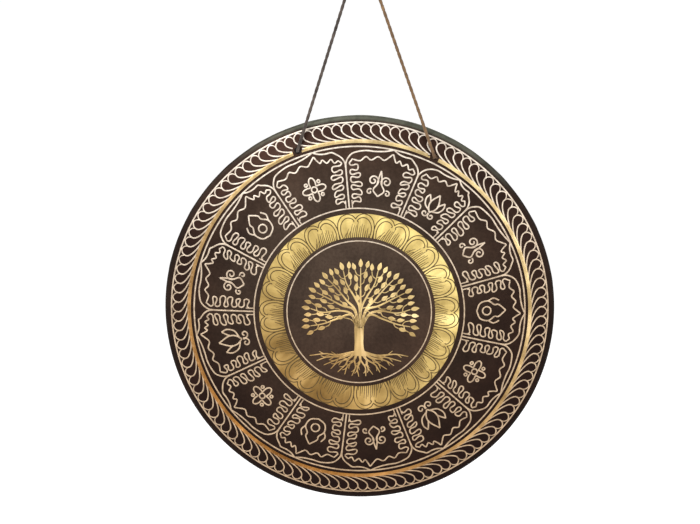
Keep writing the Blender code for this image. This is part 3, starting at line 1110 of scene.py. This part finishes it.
def add_twig(tree, number, angle, reach, length):
    """A leaf on a short twig from a limb, leaning a little away from it."""
    path = limb_path(number)
    reaches = np.linalg.norm(path - CROWN_MIDDLE, axis=1)
    root = path[int(np.argmin(np.abs(reaches - (reach - TWIG_REACH))))]
    end = crown_point(angle, reach)
    side = math.copysign(1, angle - number * LIMB_SPACING)
    bend = (root + end) / 2 + 0.5 * (end - root)[::-1] * (0.35 * side, -0.35 * side)
    tree.strip(smooth([root, bend, end], 4), TWIG_WIDTH, SOLID_BAR)
    lean = math.radians(angle + 7 * side + 6 * math.sin(3.1 * reach + number))
    tree.fill(leaf(end, lean, length, LEAF_WIDTH))


def add_limb(tree, number):
    """A limb with the leaf at its end and the leaves on its twigs."""
    path = limb_path(number)
    middle = number * LIMB_SPACING
    tree.strip(path, np.linspace(*LIMB_WIDTHS, len(path)), SOLID_BAR)
    tree.fill(leaf(path[-1], math.radians(middle), *END_LEAF))
    for side in (-1, 1):
        for beside, reach, farther, length in SIDE_TWIGS:
            add_twig(tree, number, middle + side * beside, reach + farther * side, length)
    if number < LIMBS_A_SIDE:
        for reach, length in MIDWAY_TWIGS if number % 2 else MIDWAY_TWIGS[:1]:
            add_twig(tree, number, middle + LIMB_SPACING / 2, reach, length)


def add_root(tree, number):
    """A spreading root with thinner side roots."""
    depth = DEEPEST_ROOT + OUTER_ROOT_RISE * abs(number / ROOTS_A_SIDE) ** 1.8
    start = np.array([number * ROOT_TOP_SPACING, ROOT_TOP])
    end = np.array([number * ROOT_END_SPACING, depth])
    wave = 1.2 * (-1) ** number
    path = smooth([start, start * 0.66 + end * 0.34 + (wave, 1.0 - 0.35 * abs(number)),
                   start * 0.33 + end * 0.67 + (-wave, 0.6), end], 7)
    tree.strip(path, np.linspace(*ROOT_WIDTHS, len(path)), SOLID_BAR)
    for place, sense in SIDE_ROOTS:
        spot = int(place * len(path))
        step = path[spot + 1] - path[spot - 1]
        turn = math.atan2(step[0], step[1]) + 0.6 * sense
        tip = path[spot] + (6.2 - 3 * place) * np.array([math.sin(turn), math.cos(turn)])
        side_root = smooth([path[spot], (path[spot] + tip) / 2 + (0.4 * sense, -0.3), tip], 4)
        tree.strip(side_root, np.linspace(*SIDE_ROOT_WIDTHS, len(side_root)), SOLID_BAR)


def engrave_tree():
    """A round-crowned tree with leaves and spreading roots."""
    tree = Engraving()
    trunk = smooth(TRUNK, 5)
    tree.strip(trunk, np.interp(np.linspace(0, 1, len(trunk)), *TRUNK_WIDTHS), SOLID_BAR)
    for number in range(-LIMBS_A_SIDE, LIMBS_A_SIDE + 1):
        add_limb(tree, number)
    for number in range(-ROOTS_A_SIDE, ROOTS_A_SIDE + 1):
        add_root(tree, number)
    tree.build("tree_inlay", tree_gold)


engrave_rings()
engrave_swirls()
engrave_panels()
engrave_ornaments()
engrave_petals()
engrave_tree()


# Studio

def seen_directly(material):
    """1 for what the camera sees, also in metal or through glass, and 0 for light on things."""
    path = add_node(material, "ShaderNodeLightPath").outputs
    seen = math_step(material, "MAXIMUM", path["Is Camera Ray"], path["Is Glossy Ray"])
    return math_step(material, "MAXIMUM", seen, path["Is Transmission Ray"])


def make_floor():
    """A wide pale floor that keeps the object's shadow."""
    bpy.ops.mesh.primitive_plane_add(size=FLOOR_SIZE, location=(0, 0, FLOOR_HEIGHT))
    floor = bpy.context.object
    floor.name = "floor"
    material, shader = new_material("pale_floor", 0.9, 0.0)
    shader.inputs["Base Color"].default_value = (0.9, 0.9, 0.9, 1)
    shader.inputs["Emission Color"].default_value = (1, 1, 1, 1)
    glow = math_step(material, "MULTIPLY", seen_directly(material), FLOOR_GLOW)
    connect(material, glow, shader.inputs["Emission Strength"])
    floor.data.materials.append(material)


def make_world():
    """A soft grey-white surround that looks white."""
    world = bpy.data.worlds.new("studio")
    bpy.context.scene.world = world
    world.use_nodes = True
    background = world.node_tree.nodes["Background"]
    background.inputs["Color"].default_value = (1, 1, 1, 1)
    light = mapped(world, seen_directly(world), {"To Min": SURROUND_LIGHT, "To Max": SURROUND_SEEN})
    connect(world, light, background.inputs["Strength"])


def make_lamp(name, place, size, power):
    """A soft square lamp that looks at the plate's middle."""
    lamp = bpy.data.lights.new(name, "AREA")
    lamp.size = size
    lamp.energy = power
    piece = new_object(name, lamp)
    piece.location = place
    piece.rotation_euler = (Vector(PLATE_CENTRE) - Vector(place)).to_track_quat("-Z", "Y").to_euler()


def make_camera():
    """The photograph's view: its elevation, azimuth, roll, scale and framing."""
    level = math.cos(CAMERA_ELEVATION)
    forward = Vector((level * math.sin(CAMERA_AZIMUTH), level * math.cos(CAMERA_AZIMUTH),
                      -math.sin(CAMERA_ELEVATION)))
    data = bpy.data.cameras.new("camera")
    camera = new_object("camera", data)
    camera.location = Vector(PLATE_CENTRE) - forward * CAMERA_DISTANCE
    aim = forward.to_track_quat("-Z", "Y").to_matrix().to_4x4()
    camera.rotation_euler = (aim @ Matrix.Rotation(CAMERA_ROLL, 4, "Z")).to_euler()
    data.sensor_width = SENSOR_WIDTH
    data.lens = PIXELS_PER_METRE * CAMERA_DISTANCE / IMAGE_WIDTH * SENSOR_WIDTH
    data.shift_x = (IMAGE_WIDTH / 2 - PLATE_PIXEL[0]) / IMAGE_WIDTH
    data.shift_y = (PLATE_PIXEL[1] - IMAGE_HEIGHT / 2) / IMAGE_WIDTH
    data.clip_end = VIEW_LIMIT
    bpy.context.scene.camera = camera


make_floor()
make_world()
for lamp_values in LAMPS:
    make_lamp(*lamp_values)
make_camera()
bpy.context.scene.view_settings.view_transform = "Standard"
